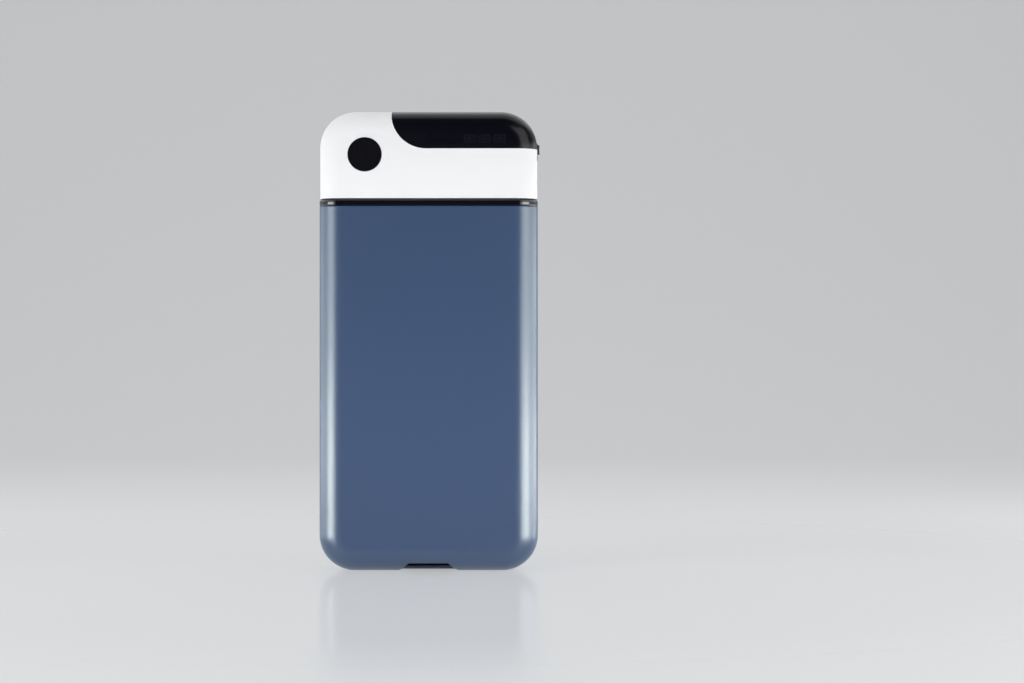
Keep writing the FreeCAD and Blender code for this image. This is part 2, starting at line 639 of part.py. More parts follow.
# Wire headers: shrouds open at the top and the rear
headers = []
for x in HEADER_X:
    header_x, header_y = (x, x + HEADER_WIDTH), (BOARD_REAR, BOARD_REAR + HEADER_HEIGHT)
    shroud = slab(header_x, header_y, HEADER_Z)
    inside_y = (BOARD_REAR + 1.4, header_y[1] + RUN_OUT)
    inside_z = (HEADER_Z[0] + RUN_OUT, HEADER_Z[1] + RUN_OUT)
    headers.append(shroud.cut(slab(widened(header_x, -HEADER_WALL), inside_y, inside_z)))
save("wire_headers", Part.makeCompound(headers))

SOUND_HOLE_R, SOUND_HOLE_DEPTH = 0.9, 1.2
buzzer_place, buzzer_rear = (BUZZER_X, BUZZER_Z), BOARD_REAR + BUZZER_HEIGHT
buzzer = cross_rod(BUZZER_R, buzzer_place, (BOARD_REAR, buzzer_rear))
sound_hole_y = (buzzer_rear - SOUND_HOLE_DEPTH, buzzer_rear + RUN_OUT)
save("buzzer", buzzer.cut(cross_rod(SOUND_HOLE_R, buzzer_place, sound_hole_y)))

# Battery cell
# A pouch cell taped to the board's rear, left of the motor. Its sealed flap is at the top.

TAPE_MARGIN, CELL_ROUND, FLAP_MARGIN = 2.0, 1.6, 6.0
tape_y = (BOARD_REAR, BOARD_REAR + TAPE_THICK)
save("cell_tape", slab(widened(CELL_X, -TAPE_MARGIN), tape_y, TAPE_Z))
cell = slab(CELL_X, (tape_y[1], tape_y[1] + CELL_THICK), CELL_Z)
cell = cell.makeFillet(CELL_ROUND, edges(cell, "Z"))
flap_x = (CELL_X[0] + FLAP_MARGIN, CELL_X[1] - TAPE_MARGIN)
cell_flap = slab(flap_x, (tape_y[1] + 0.5, tape_y[1] + 1.5), (CELL_Z[1] - MERGE, CELL_Z[1] + 2.4))
save("battery_cell", fused([cell, cell_flap]))

# Gearmotor
# It stands on the mechanism plate with its shaft down. The gearbox and the can are two pieces.

GEARBOX_CORNER = 0.6
CAN_R, CAN_BOSS_R, CAN_BOSS_HEIGHT = 6.0, 2.5, 1.0
gearbox_y = around(0, GEARBOX_DEPTH / 2)
gearbox = slab(around(0, GEARBOX_WIDTH / 2), gearbox_y, (PLATE_Z1, GEARBOX_TOP))
gearbox = gearbox.makeChamfer(GEARBOX_CORNER, edges(gearbox, "Z"))
shaft_way = upright(SHAFT_R + SHAFT_PLAY, (0, 0), (PLATE_Z1 - RUN_OUT, SHAFT_TOP + SLIDE_GAP))
save("gearmotor_gearbox", gearbox.cut(shaft_way))

can = upright(CAN_R, (0, 0), (GEARBOX_TOP, CAN_TOP))
can = can.common(slab(ALL_X, gearbox_y, ALL_Z))
can_boss = upright(CAN_BOSS_R, (0, 0), (CAN_TOP, CAN_TOP + CAN_BOSS_HEIGHT))
save("gearmotor_can", fused([can, can_boss]))

shaft = upright(SHAFT_R, (0, 0), (SHAFT_BOTTOM, SHAFT_TOP))
flat = slab((SHAFT_FLAT, CAN_R), gearbox_y, (CEILING_Z, PLATE_Z0))
save("output_shaft", shaft.cut(flat))

# Mechanism plate
# It keeps the racks down, carries the gearmotor and is screwed to four of the collar's bosses.

SHAFT_HOLE_R = 2.2
through_plate = (PLATE_Z0 - RUN_OUT, PLATE_Z1 + RUN_OUT)
mechanism = plate(PLATE_WIDTH, PLATE_DEPTH, PLATE_CORNER, (PLATE_Z0, PLATE_Z1))
mechanism = mechanism.cut(upright(SHAFT_HOLE_R, (0, 0), through_plate))
for place in PLATE_SCREWS:
    mechanism = mechanism.cut(upright(SCREW_WAY_R, place, through_plate))
save("mechanism_plate", mechanism)
plate_screws = [screw((x, y, PLATE_Z1), (0, 0, -1), SHORT_SCREW_LENGTH) for x, y in PLATE_SCREWS]
save("plate_screws", Part.makeCompound(plate_screws))

# Drive pinion
# Involute teeth, each thinned by half the backlash. A gap faces each rack at rest.

base_r = PITCH_R * math.cos(PRESSURE_ANGLE)
tip_r = PITCH_R + GEAR_MODULE
root_r = PITCH_R - 1.25 * GEAR_MODULE
tooth_pitch = math.pi * GEAR_MODULE


def involute(angle):
    return math.tan(angle) - angle


def half_tooth(radius):
    """Half of a tooth's angular width at a radius."""
    at_pitch = (tooth_pitch - BACKLASH) / (4 * PITCH_R)
    return at_pitch + involute(PRESSURE_ANGLE) - involute(math.acos(min(1.0, base_r / radius)))


FLANK_STEPS = 3
flank = [base_r + (tip_r - base_r) * i / FLANK_STEPS for i in range(FLANK_STEPS + 1)]
rising = [(root_r, -half_tooth(base_r))] + [(r, -half_tooth(r)) for r in flank]
tooth = rising + [(r, -a) for r, a in reversed(rising)]
gear_outline = []
for n in range(GEAR_TEETH):
    centre = 2 * math.pi * n / GEAR_TEETH
    gear_outline += [(r * math.cos(centre + a), r * math.sin(centre + a)) for r, a in tooth]
pinion = plan_prism(gear_outline, (BAR_Z0 + SLIDE_GAP, BAR_Z1 - SLIDE_GAP))
pinion_bore = upright(SHAFT_R, (0, 0), (BAR_Z0 - RUN_OUT, BAR_Z1 + RUN_OUT)).cut(flat)
save("drive_pinion", pinion.cut(pinion_bore))

# Rack bars and hooks
# The left bar runs behind the pinion and the right one before it, so one turn drives them apart.

BAR_START = -34.0
PAD_FRONT, PAD_END, NECK_END = -5.0, -31.0, -27.0
tan_a = math.tan(PRESSURE_ANGLE)
rack_tip, rack_root = PITCH_R - GEAR_MODULE, PITCH_R + 0.9
half_pitch_line = (tooth_pitch / 2 - BACKLASH / 2) / 2
half_tip = half_pitch_line - GEAR_MODULE * tan_a
half_root = half_pitch_line + (rack_root - PITCH_R) * tan_a
bar_end = (max(RACK_TEETH) + 0.5) * tooth_pitch

rack_outline = [(bar_end, RACK_BACK), (BAR_START, RACK_BACK), (BAR_START, rack_root)]
for n in RACK_TEETH:
    x = n * tooth_pitch
    rack_outline += [(x - half_root, rack_root), (x - half_tip, rack_tip)]
    rack_outline += [(x + half_tip, rack_tip), (x + half_root, rack_root)]
rack_outline += [(bar_end, rack_root)]
rack_strip = plan_prism(rack_outline, (BAR_Z0, BAR_Z1))

# The bar's outer end is a lower pad that the hook's tab lies on.
blade_in = -blade_inside
pad_outline = [
    (blade_in, PAD_FRONT),
    (PAD_END, PAD_FRONT),
    (NECK_END, rack_root),
    (NECK_END, RACK_BACK),
    (blade_in, RACK_BACK),
]
rack_bar = fused([rack_strip, plan_prism(pad_outline, (BAR_Z0, HOOK_SEAT))])
for place in HOOK_RIVETS:
    rack_bar = rack_bar.cut(upright(RIVET_R, place, (BAR_Z0 - RUN_OUT, BAR_Z1 + RUN_OUT)))
save("rack_bar_left", rack_bar)
save("rack_bar_right", half_turn(rack_bar))

# The hook is a steel strip with its top bent over the bar and its foot turned out to a nose.
TAB_CORNER = 2.0
hook_top = HOOK_SEAT + HOOK_THICK
hook_foot = NOSE_TOP - NOSE_HEIGHT
nose_tip = -HOOK_FACE - HOOK_REACH
hook_section = [
    (-HOOK_TAB, HOOK_SEAT),
    (-HOOK_TAB, hook_top),
    (-HOOK_FACE, hook_top),
    (-HOOK_FACE, NOSE_TOP),
    (nose_tip, NOSE_TOP),
    (nose_tip, hook_foot + NOSE_BEVEL),
    (nose_tip + NOSE_BEVEL, hook_foot),
    (blade_in, hook_foot),
    (blade_in, HOOK_SEAT),
]
hook = front_prism(hook_section, around(0, HOOK_HALF_WIDTH))
hook = hook.makeFillet(HOOK_THICK, edges(hook, "Y", X=-HOOK_FACE, Z=hook_top))
hook = hook.makeFillet(TAB_CORNER, edges(hook, "Z", X=-HOOK_TAB))
for place in HOOK_RIVETS:
    hook = hook.cut(upright(RIVET_R, place, (HOOK_SEAT - RUN_OUT, hook_top + RUN_OUT)))
save("hook_left", hook)
save("hook_right", half_turn(hook))

rivet_length = hook_top - BAR_Z0 - SLIDE_GAP
rivets = [rivet((x, y, hook_top), (0, 0, -1), rivet_length) for x, y in HOOK_RIVETS]
rivets = Part.makeCompound(rivets)
save("hook_rivets_left", rivets)
save("hook_rivets_right", half_turn(rivets))
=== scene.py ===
import math

import bpy
from mathutils import Matrix, Vector


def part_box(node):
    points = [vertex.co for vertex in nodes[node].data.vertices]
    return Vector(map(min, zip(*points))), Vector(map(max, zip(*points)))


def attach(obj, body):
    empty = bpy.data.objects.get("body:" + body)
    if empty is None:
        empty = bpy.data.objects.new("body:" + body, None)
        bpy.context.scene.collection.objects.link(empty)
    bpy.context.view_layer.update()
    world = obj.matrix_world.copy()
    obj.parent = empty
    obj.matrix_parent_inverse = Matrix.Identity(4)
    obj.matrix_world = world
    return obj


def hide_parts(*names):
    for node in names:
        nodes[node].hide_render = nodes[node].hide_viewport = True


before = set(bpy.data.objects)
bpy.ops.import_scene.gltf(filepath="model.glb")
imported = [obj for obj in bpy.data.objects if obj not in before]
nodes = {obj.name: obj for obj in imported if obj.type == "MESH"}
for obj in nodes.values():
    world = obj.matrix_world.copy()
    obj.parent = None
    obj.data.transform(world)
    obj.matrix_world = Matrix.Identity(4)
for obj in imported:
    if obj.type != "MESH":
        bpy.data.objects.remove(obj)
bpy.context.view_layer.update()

# ---------------------------------------------------------------------------------------------
# Sleeve
# The tall tub that takes the phone: one moulding of smoke-blue polycarbonate, dense enough to
# hide what is inside. Its skin is a fine satin, and light scattered in the wall makes the
# rounded sides look paler than the flat front.


class Signal:
    """One output of a finish's nodes. An expression on signals and numbers adds Math nodes."""

    def __init__(self, finish, socket):
        self.finish, self.socket = finish, socket

    def maths(self, operation, *values):
        return self.finish.node("Math", {"operation": operation}, dict(enumerate(values)))

    def __add__(self, other):
        return self.maths("ADD", self, other)

    def __sub__(self, other):
        return self.maths("SUBTRACT", self, other)

    def __mul__(self, other):
        return self.maths("MULTIPLY", self, other)

    def __rsub__(self, other):
        return self.maths("SUBTRACT", other, self)

    def __lt__(self, other):
        return self.maths("LESS_THAN", self, other)

    def __gt__(self, other):
        return self.maths("GREATER_THAN", self, other)

    def __abs__(self):
        return self.maths("ABSOLUTE", self)

    __radd__ = __add__
    __rmul__ = __mul__


class Finish:
    """A material: one Principled shader with fixed numbers, and the nodes that vary it."""

    def __init__(self, name, fixed):
        self.material = bpy.data.materials.new(name)
        self.material.use_nodes = True
        self.tree = self.material.node_tree
        self.shader = self.tree.nodes["Principled BSDF"]
        for socket, value in fixed.items():
            self.shader.inputs[socket].default_value = value
        self.place = self.node("TexCoord", output="Object")

    def node(self, kind, settings=None, inputs=None, output=0):
        """Add a node: its settings first, then numbers or links on its sockets."""
        made = self.tree.nodes.new("ShaderNode" + kind)
        for name, value in (settings or {}).items():
            setattr(made, name, value)
        for name, value in (inputs or {}).items():
            if isinstance(value, Signal):
                self.tree.links.new(value.socket, made.inputs[name])
            else:
                made.inputs[name].default_value = value
        return Signal(self, made.outputs[output])

    def noise(self, scale, detail=2.0, stretch=(1, 1, 1)):
        """Soft noise in the piece's own place, per metre, stretched along its axes."""
        spread = self.node("Mapping", None, {"Vector": self.place, "Scale": stretch})
        return self.node("TexNoise", None, {"Vector": spread, "Scale": scale, "Detail": detail})

    def axis(self, letter):
        """The place along X, Y or Z, in metres."""
        return self.node("SeparateXYZ", None, {0: self.place}, output=letter)

    def distance(self, centre, across):
        """Distance from a line through centre. Across holds 0 for the axis the line runs along."""
        offset = self.node("VectorMath", {"operation": "SUBTRACT"}, {0: self.place, 1: centre})
        level = self.node("VectorMath", {"operation": "MULTIPLY"}, {0: offset, 1: across})
        return self.node("VectorMath", {"operation": "LENGTH"}, {0: level}, output="Value")

    def mix(self, factor, a, b):
        """Colour between a and b, by the Mix node's own sockets for colours."""
        colour_a, colour_b, colour_out = 6, 7, 2
        sockets = {0: factor, colour_a: a, colour_b: b}
        return self.node("Mix", {"data_type": "RGBA"}, sockets, output=colour_out)

    def drive(self, socket, signal):
        """Let a signal set one of the shader's sockets over the surface."""
        self.tree.links.new(signal.socket, self.shader.inputs[socket])

    def relief(self, height, depth):
        """Bump on the surface. Where the height is 1, it is as deep as this, in metres."""
        bump = self.node("Bump", None, {"Height": height, "Distance": depth, "Strength": 1.0})
        self.drive("Normal", bump)

    def put_on(self, *pieces):
        """Make this the only finish of each piece."""
        for piece in pieces:
            piece.data.materials.clear()
            piece.data.materials.append(self.material)


def srgb(r, g, b):
    """A colour given as it looks, 0 to 255, made linear with full alpha."""
    line = [c / 255 for c in (r, g, b)]
    return tuple(((c + 0.055) / 1.055) ** 2.4 if c > 0.04045 else c / 12.92 for c in line) + (1.0,)


SLEEVE_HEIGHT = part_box("sleeve")[1].z
smoke = Finish(
    "smoke_blue_polycarbonate",
    {
        "IOR": 1.585,
        "Specular IOR Level": 1.0,
        "Specular Tint": (0.91, 1.0, 0.94, 1.0),
        "Sheen Weight": 0.3,
        "Sheen Roughness": 0.4,
        "Sheen Tint": srgb(205, 224, 240),
    },
)
cloud = smoke.noise(9.0, detail=3.0)
# Painted shade: the base colour darkens towards the bottom, offsetting the light the floor throws
# up onto the lower sleeve.
painted_shade_span = {"Value": smoke.axis("Z"), "From Min": SLEEVE_HEIGHT, "From Max": 0.0}
painted_shade_share = smoke.node("MapRange", None, painted_shade_span)
upper = smoke.mix(cloud, srgb(41, 66, 104), srgb(46, 70, 107))
painted_shade_tone = smoke.mix(cloud, srgb(32, 56, 94), srgb(37, 59, 98))
smoke.drive("Base Color", smoke.mix(painted_shade_share, upper, painted_shade_tone))
smoke.drive("Roughness", 0.29 + 0.06 * smoke.noise(700.0))
smoke.relief(smoke.noise(2600.0, detail=3.0), depth=0.000006)
smoke.put_on(nodes["sleeve"])

# ---------------------------------------------------------------------------------------------
# Strike plates and their rivets
# Angles pressed from zinc-plated sheet, each fixed with two rivets to a pad inside the sleeve.
# The hooks and the mechanism plate come from the same sheet.

zinc = Finish("zinc_plated_sheet", {"Metallic": 1.0, "IOR": 1.5})
spangle = zinc.noise(420.0, detail=4.0)
rolled = zinc.noise(900.0, detail=3.0, stretch=(1, 1, 0.04))
zinc.drive("Base Color", zinc.mix(spangle, srgb(178, 181, 186), srgb(212, 214, 216)))
zinc.drive("Roughness", 0.22 + 0.16 * rolled + 0.1 * spangle)
zinc.relief(rolled, depth=0.000008)
for side in ("left", "right"):
    zinc.put_on(nodes[f"strike_plate_{side}"], nodes[f"hook_{side}"])
zinc.put_on(nodes["mechanism_plate"])

nickel = Finish("nickel_plated_steel", {"Metallic": 1.0, "IOR": 1.5})
dulling = nickel.noise(1500.0, detail=3.0)
nickel.drive("Base Color", nickel.mix(dulling, srgb(172, 170, 166), srgb(204, 202, 198)))
nickel.drive("Roughness", 0.18 + 0.16 * dulling)
for side in ("left", "right"):
    nickel.put_on(nodes[f"strike_rivets_{side}"], nodes[f"hook_rivets_{side}"])

# ---------------------------------------------------------------------------------------------
# Neck collar
# The dark band between sleeve and head. It is one moulding of glossy black plastic with the plug
# that enters the sleeve and the floor that carries the lock. The band is polished to a slight
# crown.

jet = Finish("gloss_black_collar", {"IOR": 1.6})
jet.drive("Base Color", jet.mix(jet.noise(30.0), srgb(3, 4, 15), srgb(7, 8, 19)))
jet.drive("Roughness", 0.08 + 0.04 * jet.noise(260.0))
BAND_MIDDLE_Z, CROWN_R, BAND_REACH = 0.1709, 0.026, 0.0014
rise = jet.axis("Z") - BAND_MIDDLE_Z
on_band = (rise < BAND_REACH) * (rise > -BAND_REACH)
jet.relief(rise * rise * on_band * (-0.5 / CROWN_R), depth=1.0)
jet.put_on(nodes["neck_collar"])

# ---------------------------------------------------------------------------------------------
# Rack bars, pinion and gearmotor
# The bars are white acetal and slide on the collar's floor. The brass pinion between them sits on
# the gearmotor's ground steel shaft. The gearbox is brass plate and the can is drawn steel.

acetal = Finish(
    "natural_acetal", {"IOR": 1.48, "Subsurface Weight": 0.15, "Subsurface Scale": 0.001}
)
flow = acetal.noise(90.0, stretch=(0.2, 1, 1))
acetal.drive("Base Color", acetal.mix(flow, srgb(232, 231, 224), srgb(243, 242, 236)))
acetal.drive("Roughness", 0.3 + 0.08 * acetal.noise(800.0))
acetal.put_on(nodes["rack_bar_left"], nodes["rack_bar_right"])

TURNING_PITCH = 0.00015
brass = Finish("cut_brass", {"Metallic": 1.0, "IOR": 1.5})
rings = brass.distance((0, 0, 0), (1, 1, 0)) * (2 * math.pi / TURNING_PITCH)
tool_marks = brass.node("Math", {"operation": "SINE"}, {0: rings})
brass.drive("Base Color", brass.mix(brass.noise(300.0), srgb(196, 160, 88), srgb(226, 192, 118)))
brass.drive("Roughness", 0.24 + 0.05 * tool_marks + 0.08 * brass.noise(1200.0))
brass.put_on(nodes["drive_pinion"], nodes["gearmotor_gearbox"])

drawn = Finish("drawn_motor_steel", {"Metallic": 1.0, "IOR": 1.5})
streaks = drawn.noise(1400.0, detail=3.0, stretch=(1, 1, 0.03))
drawn.drive("Base Color", drawn.mix(streaks, srgb(196, 197, 198), srgb(222, 222, 221)))
drawn.drive("Roughness", 0.14 + 0.14 * streaks)
drawn.put_on(nodes["gearmotor_can"], nodes["output_shaft"])

# ---------------------------------------------------------------------------------------------
# Screws
# Pan heads of 3.8 mm with a cross recess, on a 1.6 mm thread, nickel plated. Four hold the shells
# to the collar, four the board and four the mechanism plate.

SHANK_R, CORE_R, THREAD_PITCH = 0.0008, 0.00062, 0.00045
PAN_R, PAN_TALL, PAN_ROUND = 0.0019, 0.0013, 0.0005
RECESS_ARM, RECESS_WIDTH, RECESS_DEEP, RECESS_TAPER = 0.00095, 0.00034, 0.0008, 0.35
CASE_SCREW_LONG, SHORT_SCREW_LONG = 0.0075, 0.005
# The cosine above which a face counts as looking along an axis.
FACING = 0.9


def hold(*pieces):
    """Select these pieces and nothing else, with the first one active."""
    bpy.ops.object.select_all(action="DESELECT")
    for piece in pieces:
        piece.select_set(True)
    bpy.context.view_layer.objects.active = pieces[0]


def pick(piece, kind, test):
    """In edit mode, select the faces or edges whose middle, and normal or run, pass the test."""
    bpy.ops.object.mode_set(mode="EDIT")
    bpy.ops.mesh.select_mode(type=kind)
    bpy.ops.mesh.select_all(action="DESELECT")
    bpy.ops.object.mode_set(mode="OBJECT")
    if kind == "FACE":
        for face in piece.data.polygons:
            face.select = test(face.center, face.normal)
    else:
        for edge in piece.data.edges:
            a, b = (piece.data.vertices[v].co for v in edge.vertices)
            edge.select = test((a + b) / 2, b - a)
    bpy.ops.object.mode_set(mode="EDIT")


def settle(piece):
    """Leave edit mode and put the piece's place and turn into its mesh."""
    if piece.mode == "EDIT":
        bpy.ops.object.mode_set(mode="OBJECT")
    hold(piece)
    bpy.ops.object.transform_apply(location=True, rotation=True, scale=True)


def start_rod(sides, radius, tall, middle=(0, 0, 0), turn=(0, 0, 0)):
    """Add a rod along Z about middle and turn it there, to be shaped further."""
    bpy.ops.object.select_all(action="DESELECT")
    bpy.ops.mesh.primitive_cylinder_add(
        vertices=sides, radius=radius, depth=tall, location=middle, rotation=turn
    )
    rod = bpy.context.object
    settle(rod)
    return rod


def start_block(size, middle=(0, 0, 0), turn=(0, 0, 0)):
    """Add a block of this size about middle and turn it there, to be shaped further."""
    bpy.ops.object.select_all(action="DESELECT")
    bpy.ops.mesh.primitive_cube_add(size=1, location=middle, rotation=turn)
    block = bpy.context.object
    block.scale = size
    settle(block)
    return block


def cut_with(piece, cutter):
    """Take the cutter's form out of the piece. The cutter goes."""
    hollow = piece.modifiers.new("cut", "BOOLEAN")
    hollow.operation, hollow.solver, hollow.object = "DIFFERENCE", "EXACT", cutter
    hold(piece)
    bpy.ops.object.modifier_apply(modifier=hollow.name)
    bpy.data.objects.remove(cutter)


def copies(name, pattern, places):
    """One piece made of copies of the pattern's mesh, each moved by a matrix. The pattern goes."""
    made = []
    for place in places:
        twin = bpy.data.objects.new(name, pattern.data.copy())
        twin.data.transform(place)
        bpy.context.scene.collection.objects.link(twin)
        made.append(twin)
    bpy.data.objects.remove(pattern)
    hold(*made)
    bpy.ops.object.join()
    made[0].name = name
    return made[0]


def model_screw(length):
    """Screw with its head's seat at the origin, its thread downward."""
    made = start_rod(32, PAN_R, PAN_TALL, middle=(0, 0, PAN_TALL / 2))
    pick(made, "EDGE", lambda middle, run: middle.z > PAN_TALL * 0.99)
    bpy.ops.mesh.bevel(offset=PAN_ROUND, segments=4, affect="EDGES")
    pick(made, "FACE", lambda middle, normal: normal.z < -FACING)
    bpy.ops.mesh.inset(thickness=PAN_R - SHANK_R)
    for turn in range(int(length / THREAD_PITCH)):
        for ratio in (CORE_R / SHANK_R, SHANK_R / CORE_R):
            step = {"value": (0, 0, -THREAD_PITCH / 2)}
            bpy.ops.mesh.extrude_region_move(TRANSFORM_OT_translate=step)
            bpy.ops.transform.resize(value=(ratio, ratio, 1))
    bpy.ops.object.mode_set(mode="OBJECT")
    arm_size = (2 * RECESS_ARM, RECESS_WIDTH, 2 * RECESS_DEEP)
    for turn in (0, 90):
        arm = start_block(arm_size, middle=(0, 0, PAN_TALL), turn=(0, 0, math.radians(turn)))
        pick(arm, "FACE", lambda middle, normal: normal.z < -FACING)
        bpy.ops.transform.resize(value=(RECESS_TAPER, RECESS_TAPER, 1))
        settle(arm)
        cut_with(made, arm)
    settle(made)
    bpy.ops.object.shade_smooth_by_angle(angle=math.radians(35))
    return made


def screw_set(node, length, seats, turn):
    """Replace a node of plain screws with detailed ones on the same seats."""
    places = [Matrix.Translation(seat) @ turn for seat in seats]
    group = copies(node + "_detailed", model_screw(length), places)
    nickel.put_on(group)
    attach(group, "head")
    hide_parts(node)


CASE_PLACES = ((-0.023, -0.008), (-0.038, -0.008), (0.023, 0.008), (0.038, 0.008))
case_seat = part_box("case_screws")[0].z + PAN_TALL
screw_set(
    "case_screws",
    CASE_SCREW_LONG,
    [(x, y, case_seat) for x, y in CASE_PLACES],
    Matrix.Rotation(math.pi, 4, "X"),
)

BOARD_PLACES = ((-0.041, 0.1835), (0.041, 0.1835), (-0.037, 0.2065), (0.030, 0.2079))
board_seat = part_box("board_screws")[1].y - PAN_TALL
screw_set(
    "board_screws",
    SHORT_SCREW_LONG,
    [(x, board_seat, z) for x, z in BOARD_PLACES],
    Matrix.Rotation(-math.pi / 2, 4, "X"),
)

PLATE_PLACES = ((0.012, 0.0), (-0.012, 0.0), (0.0142, 0.009), (-0.0142, -0.009))
plate_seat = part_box("plate_screws")[1].z - PAN_TALL
screw_set(
    "plate_screws", SHORT_SCREW_LONG, [(x, y, plate_seat) for x, y in PLATE_PLACES], Matrix()
)

# ---------------------------------------------------------------------------------------------
# Main board
# Glass laminate with copper tracks under green solder mask. Four screws hold it to pillars in the
# front shell, each through a bare tinned ring.

# Tracks fill a share of their pitch, and run only where soft patches of noise are above a level.
TRACK_PITCH, TRACK_SHARE, PATCH_LEVEL, RING_R = 0.0011, 0.3, 0.52, 0.0023
mask = Finish("green_solder_mask", {"IOR": 1.55, "Coat Weight": 0.4, "Coat Roughness": 0.12})
tracks = []
for letter, patch_scale in (("X", 55.0), ("Z", 71.0)):
    repeat = {0: mask.axis(letter), 1: TRACK_PITCH / 2}
    ramp = mask.node("Math", {"operation": "PINGPONG"}, repeat)
    in_patch = mask.noise(patch_scale, detail=0.0) > PATCH_LEVEL
    tracks.append((ramp < TRACK_PITCH / 2 * TRACK_SHARE) * in_patch)
copper = mask.node("Math", {"operation": "MAXIMUM"}, {0: tracks[0], 1: tracks[1]})
rings = 0.0
for x, z in BOARD_PLACES:
    rings = (mask.distance((x, 0, z), (1, 0, 1)) < RING_R) + rings
laminate = mask.mix(copper, srgb(14, 74, 40), srgb(30, 104, 58))
mask.drive("Base Color", mask.mix(rings, laminate, srgb(196, 196, 192)))
mask.drive("Metallic", rings)
mask.drive("Roughness", 0.34 + 0.06 * mask.noise(600.0) - 0.08 * copper)
mask.relief(copper, depth=0.00003)
mask.put_on(nodes["main_board"])

# ---------------------------------------------------------------------------------------------
# Chips and their legs, headers and their pins, buzzer
# Black epoxy packages on tinned gull-wing legs, two headers of white nylon with three square pins
# each, and a moulded buzzer, all soldered to the board's rear.

epoxy = Finish("moulded_black_epoxy", {"IOR": 1.52})
speckle = epoxy.noise(2400.0, detail=3.0)
epoxy.drive("Base Color", epoxy.mix(speckle, srgb(26, 26, 27), srgb(40, 40, 41)))
epoxy.drive("Roughness", 0.42 + 0.16 * speckle)
epoxy.relief(speckle, depth=0.000012)
epoxy.put_on(nodes["board_chips"], nodes["buzzer"])

nylon = Finish(
    "natural_nylon", {"IOR": 1.53, "Subsurface Weight": 0.1, "Subsurface Scale": 0.0008}
)
nylon.drive("Base Color", nylon.mix(nylon.noise(160.0), srgb(228, 226, 214), srgb(240, 238, 228)))
nylon.drive("Roughness", 0.36 + 0.1 * nylon.noise(900.0))
nylon.put_on(nodes["wire_headers"])

tin = Finish("tinned_copper", {"Metallic": 1.0, "IOR": 1.5})
tin.drive("Base Color", tin.mix(tin.noise(1800.0), srgb(188, 190, 192), srgb(216, 217, 218)))
tin.drive("Roughness", 0.24 + 0.14 * tin.noise(2600.0))

LEG_FOOT, LEG_WIDE, LEG_THICK, LEG_PITCH = 0.0005, 0.0003, 0.00012, 0.0008
LEG_RISE, LEG_LEAN = 0.0005, 0.00025
# Each chip's middle in X and Z, half its width, its legs a side, and the turns of those sides.
LEGGED_CHIPS = (
    (0.0315, 0.1935, 0.0035, 8, (0, 90, 180, 270)),
    (0.0145, 0.188, 0.0025, 4, (0, 180)),
)
BOARD_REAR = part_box("main_board")[1].y

leg = start_block((LEG_FOOT, LEG_THICK, LEG_WIDE), middle=(0, LEG_THICK / 2, 0))
pick(leg, "FACE", lambda middle, normal: normal.x < -FACING)
for step in ((-LEG_LEAN, LEG_RISE, 0), (-LEG_FOOT, 0, 0)):
    bpy.ops.mesh.extrude_region_move(TRANSFORM_OT_translate={"value": step})
settle(leg)
bpy.ops.object.shade_smooth_by_angle(angle=math.radians(25))
leg_places = []
for chip_x, chip_z, half, count, turns in LEGGED_CHIPS:
    chip = Matrix.Translation((chip_x, BOARD_REAR, chip_z))
    reach = half + LEG_LEAN + LEG_FOOT / 2
    for turn in turns:
        side = chip @ Matrix.Rotation(math.radians(turn), 4, "Y")
        for n in range(count):
            along = (n - (count - 1) / 2) * LEG_PITCH
            leg_places.append(side @ Matrix.Translation((reach, 0, along)))
legs = copies("chip_legs", leg, leg_places)
tin.put_on(legs)
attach(legs, "head")

PIN_HALF, PIN_PITCH, PIN_TALL, PIN_TAPER = 0.0002, 0.00125, 0.0032, 0.4
HEADER_MIDDLES, HEADER_Z = (0.014, 0.025), 0.2062
pin = start_block((2 * PIN_HALF, PIN_TALL, 2 * PIN_HALF), middle=(0, PIN_TALL / 2, 0))
pick(pin, "FACE", lambda middle, normal: normal.y > FACING)
bpy.ops.mesh.extrude_region_move(TRANSFORM_OT_translate={"value": (0, 2 * PIN_HALF, 0)})
bpy.ops.transform.resize(value=(PIN_TAPER, 1, PIN_TAPER))
settle(pin)
pin_places = [
    Matrix.Translation((middle + n * PIN_PITCH, BOARD_REAR, HEADER_Z))
    for middle in HEADER_MIDDLES
    for n in (-1, 0, 1)
]
pins = copies("header_pins", pin, pin_places)
tin.put_on(pins)
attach(pins, "head")

# ---------------------------------------------------------------------------------------------
# Battery cell and its tape
# A lithium pouch in laminated foil, its sealed flap at the top covered with amber tape. White foam
# tape sticks it to the board's rear.

FLAP_TALL = 0.0024
cell_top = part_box("battery_cell")[1].z - FLAP_TALL
foil = Finish("pouch_foil", {"IOR": 1.5, "Coat Weight": 0.3, "Coat Roughness": 0.2})
crease = foil.noise(130.0, detail=5.0)
amber = foil.axis("Z") > cell_top
silver = foil.mix(crease, srgb(196, 199, 204), srgb(220, 222, 226))
foil.drive("Base Color", foil.mix(amber, silver, srgb(196, 132, 40)))
foil.drive("Metallic", 1.0 - amber)
foil.drive("Roughness", 0.3 + 0.14 * crease)
foil.relief(crease, depth=0.00012)
foil.put_on(nodes["battery_cell"])

foam = Finish("white_foam_tape", {"IOR": 1.45})
cells = foam.node("TexVoronoi", {"feature": "F1"}, {"Vector": foam.place, "Scale": 1600.0})
foam.drive("Base Color", foam.mix(cells, srgb(206, 206, 203), srgb(236, 236, 233)))
foam.drive("Roughness", 0.85 + 0.1 * cells)
foam.relief(cells, depth=0.00005)
foam.put_on(nodes["cell_tape"])

# ---------------------------------------------------------------------------------------------
# Charging socket
# A shell of bright drawn steel, which reaches into the head's left wall. The black tongue in it
# carries twelve gilt contacts on each face.

